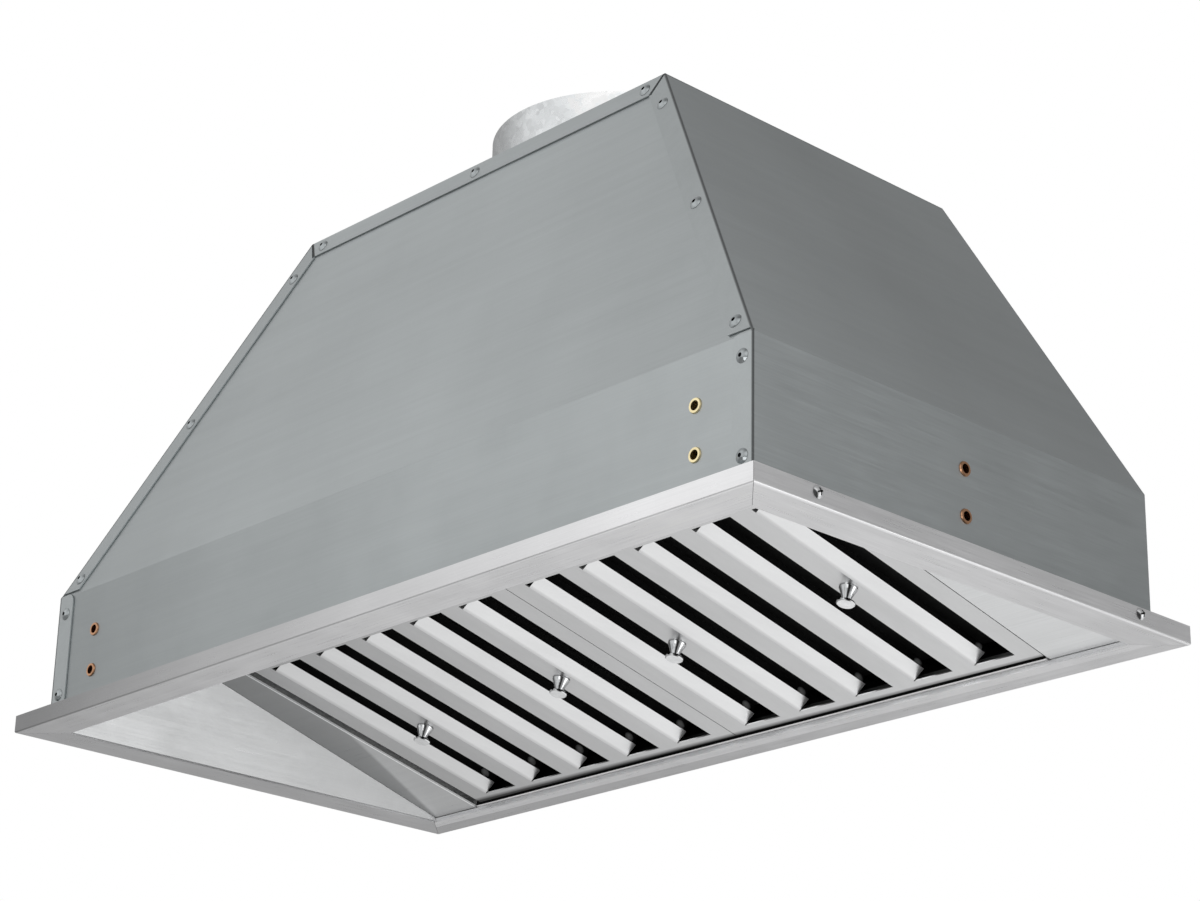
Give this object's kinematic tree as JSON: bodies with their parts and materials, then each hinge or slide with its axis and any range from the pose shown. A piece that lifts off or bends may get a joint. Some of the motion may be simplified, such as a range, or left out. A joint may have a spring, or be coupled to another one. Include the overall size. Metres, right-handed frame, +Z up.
{
  "type": "range hood insert",
  "caption": "Range hood insert: tapered brushed-steel shell on a flange frame, hinged baffle filters, blower and round duct collar with a damper.",
  "frame": {"origin": "middle of the flange frame's underside", "axes": "+X towards the right end, -Y towards the front wall, +Z up towards the duct collar"},
  "size_m": [0.7156, 0.387, 0.4095],
  "materials": {
    "brushed_shell": "brushed stainless sheet, soft grain",
    "frame_steel": "brushed stainless sheet, bright",
    "pan_steel": "brushed stainless sheet, bright",
    "filter_steel": "brushed stainless sheet, bright",
    "rivet_steel": "plain steel fasteners and pins",
    "insert_brass": "turned brass",
    "knob_chrome": "polished chrome",
    "galvanised": "galvanised sheet with a spangle",
    "lamp_glass": "frosted glass",
    "motor_paint": "black enamel",
    "dark_plastic": "moulded black plastic"
  },
  "bodies": {
    "casing": {"front_panel": "brushed_shell", "back_panel": "brushed_shell", "left_side_panel": "brushed_shell", "right_side_panel": "brushed_shell", "top_panel": "brushed_shell", "front_rail": "frame_steel", "back_rail": "frame_steel", "left_rail": "frame_steel", "right_rail": "frame_steel", "filter_pan": "pan_steel", "left_end_panel": "pan_steel", "right_end_panel": "pan_steel", "control_panel": "pan_steel", "switch_plate": "pan_steel", "panel_rivets": "rivet_steel", "collar_rivets": "rivet_steel", "frame_screws": "rivet_steel", "blower_screws": "rivet_steel", "filter_rod": "rivet_steel", "damper_pin": "rivet_steel", "threaded_inserts": "insert_brass", "left_lamp_ring": "knob_chrome", "right_lamp_ring": "knob_chrome", "duct_collar": "galvanised", "blower_outlet_plate": "galvanised", "blower_scroll": "galvanised", "left_blower_plate": "galvanised", "right_blower_plate": "galvanised", "motor_bracket": "galvanised", "wiring_box": "galvanised", "wiring_box_cover": "galvanised", "left_lamp_can": "galvanised", "right_lamp_can": "galvanised", "left_lamp_lens": "lamp_glass", "right_lamp_lens": "lamp_glass", "blower_motor": "motor_paint", "switch_block": "dark_plastic", "cable_gland": "dark_plastic"},
    "left_filter": {"left_filter_tray": "filter_steel", "left_filter_baffles": "filter_steel", "left_filter_knobs": "knob_chrome"},
    "right_filter": {"right_filter_tray": "filter_steel", "right_filter_baffles": "filter_steel", "right_filter_knobs": "knob_chrome"},
    "channel": {"grease_channel": "pan_steel"},
    "front_flap": {"front_damper_flap": "galvanised"},
    "rear_flap": {"rear_damper_flap": "galvanised"},
    "impeller": {"blower_wheel": "galvanised", "motor_shaft": "rivet_steel"},
    "power_button": {"button_1": "dark_plastic"},
    "light_button": {"button_2": "dark_plastic"},
    "slow_button": {"button_3": "dark_plastic"},
    "fast_button": {"button_4": "dark_plastic"}
  },
  "joints": [
    {"name": "left_filter_hinge", "type": "hinge", "parent": "casing", "child": "left_filter", "pos_m": [-0.1357, -0.06905, 0.06793], "axis": [-1, 0, 0], "range_deg": [0, 65]},
    {"name": "right_filter_hinge", "type": "hinge", "parent": "casing", "child": "right_filter", "pos_m": [0.1329, -0.06905, 0.06793], "axis": [-1, 0, 0], "range_deg": [0, 65]},
    {"name": "channel_lift", "type": "slide", "parent": "casing", "child": "channel", "axis": [0, 0, 1], "range_m": [0, 0.007]},
    {"name": "front_flap_hinge", "type": "hinge", "parent": "casing", "child": "front_flap", "pos_m": [0, 0.036, 0.3697], "axis": [-1, 0, 0], "range_deg": [0, 76]},
    {"name": "rear_flap_hinge", "type": "hinge", "parent": "casing", "child": "rear_flap", "pos_m": [0, 0.036, 0.3697], "axis": [1, 0, 0], "range_deg": [0, 76]},
    {"name": "impeller_spin", "type": "hinge", "parent": "casing", "child": "impeller", "pos_m": [0, -0.03134, 0.205], "axis": [1, 0, 0], "continuous": true},
    {"name": "power_button_press", "type": "slide", "parent": "casing", "child": "power_button", "axis": [0, -0.6584, 0.7526], "range_m": [0, 0.003], "stiffness_N_per_m": 400, "springref_m": -0.001},
    {"name": "light_button_press", "type": "slide", "parent": "casing", "child": "light_button", "axis": [0, -0.6584, 0.7526], "range_m": [0, 0.003], "stiffness_N_per_m": 400, "springref_m": -0.001},
    {"name": "slow_button_press", "type": "slide", "parent": "casing", "child": "slow_button", "axis": [0, -0.6584, 0.7526], "range_m": [0, 0.003], "stiffness_N_per_m": 400, "springref_m": -0.001},
    {"name": "fast_button_press", "type": "slide", "parent": "casing", "child": "fast_button", "axis": [0, -0.6584, 0.7526], "range_m": [0, 0.003], "stiffness_N_per_m": 400, "springref_m": -0.001}
  ]
}
